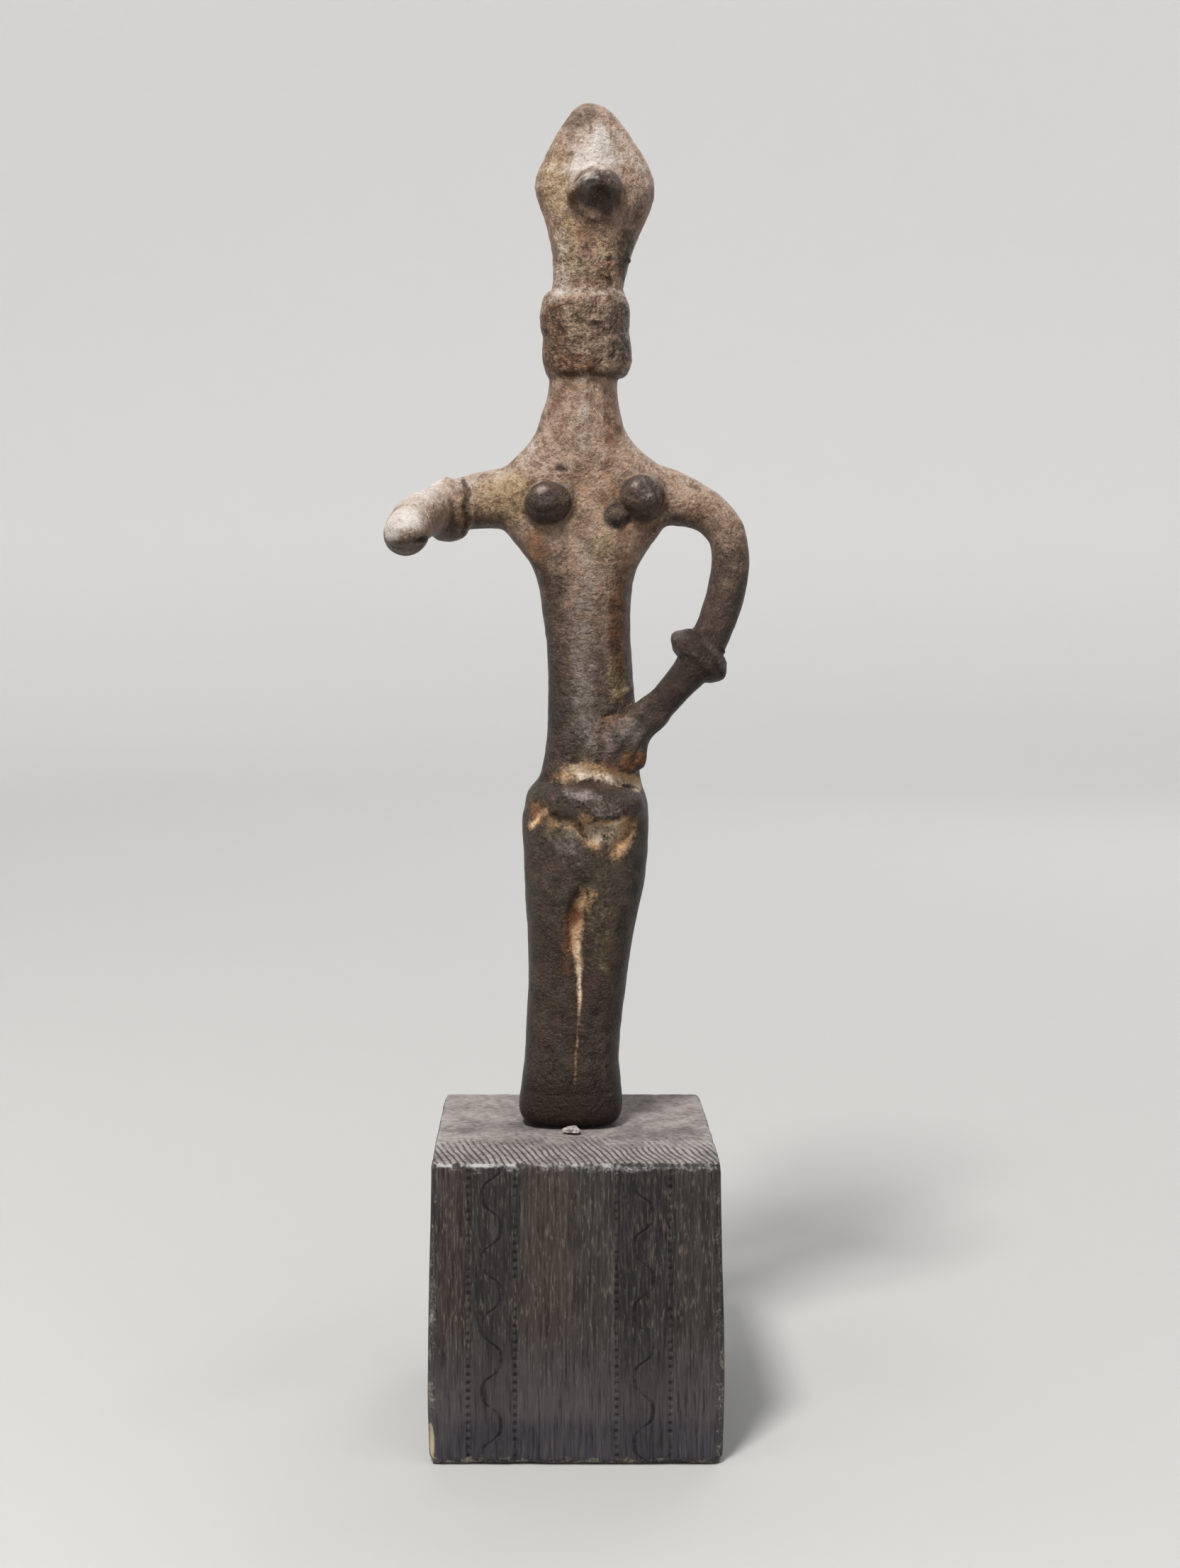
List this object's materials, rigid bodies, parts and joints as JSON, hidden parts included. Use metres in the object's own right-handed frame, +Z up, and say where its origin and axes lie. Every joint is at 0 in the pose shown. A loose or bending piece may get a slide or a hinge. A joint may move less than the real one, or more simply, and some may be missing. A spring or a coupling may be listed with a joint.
{
  "type": "fertility idol",
  "caption": "Small cast bronze fertility idol: a slender nude female figure with a ringed neck, a hand on the belly and a broken arm held forward, fixed on a dark wooden plinth.",
  "frame": {"origin": "centre of the plinth's underside, on the surface it stands on", "axes": "+Z up; the figure faces -Y; +X is the figure's left, the side of the hand on the belly"},
  "size_m": [0.0455, 0.0354, 0.1644],
  "materials": {
    "stained_wood": "dark grey-brown stain worn through to pale wood at the edges, matt",
    "patinated_bronze": "brown bronze patina with earth in the hollows and worn, half-glossy high spots",
    "pale_adhesive": "off-white set adhesive, satin"
  },
  "bodies": {
    "root": {"plinth": "stained_wood", "idol": "patinated_bronze", "adhesive_dab": "pale_adhesive"}
  },
  "joints": []
}
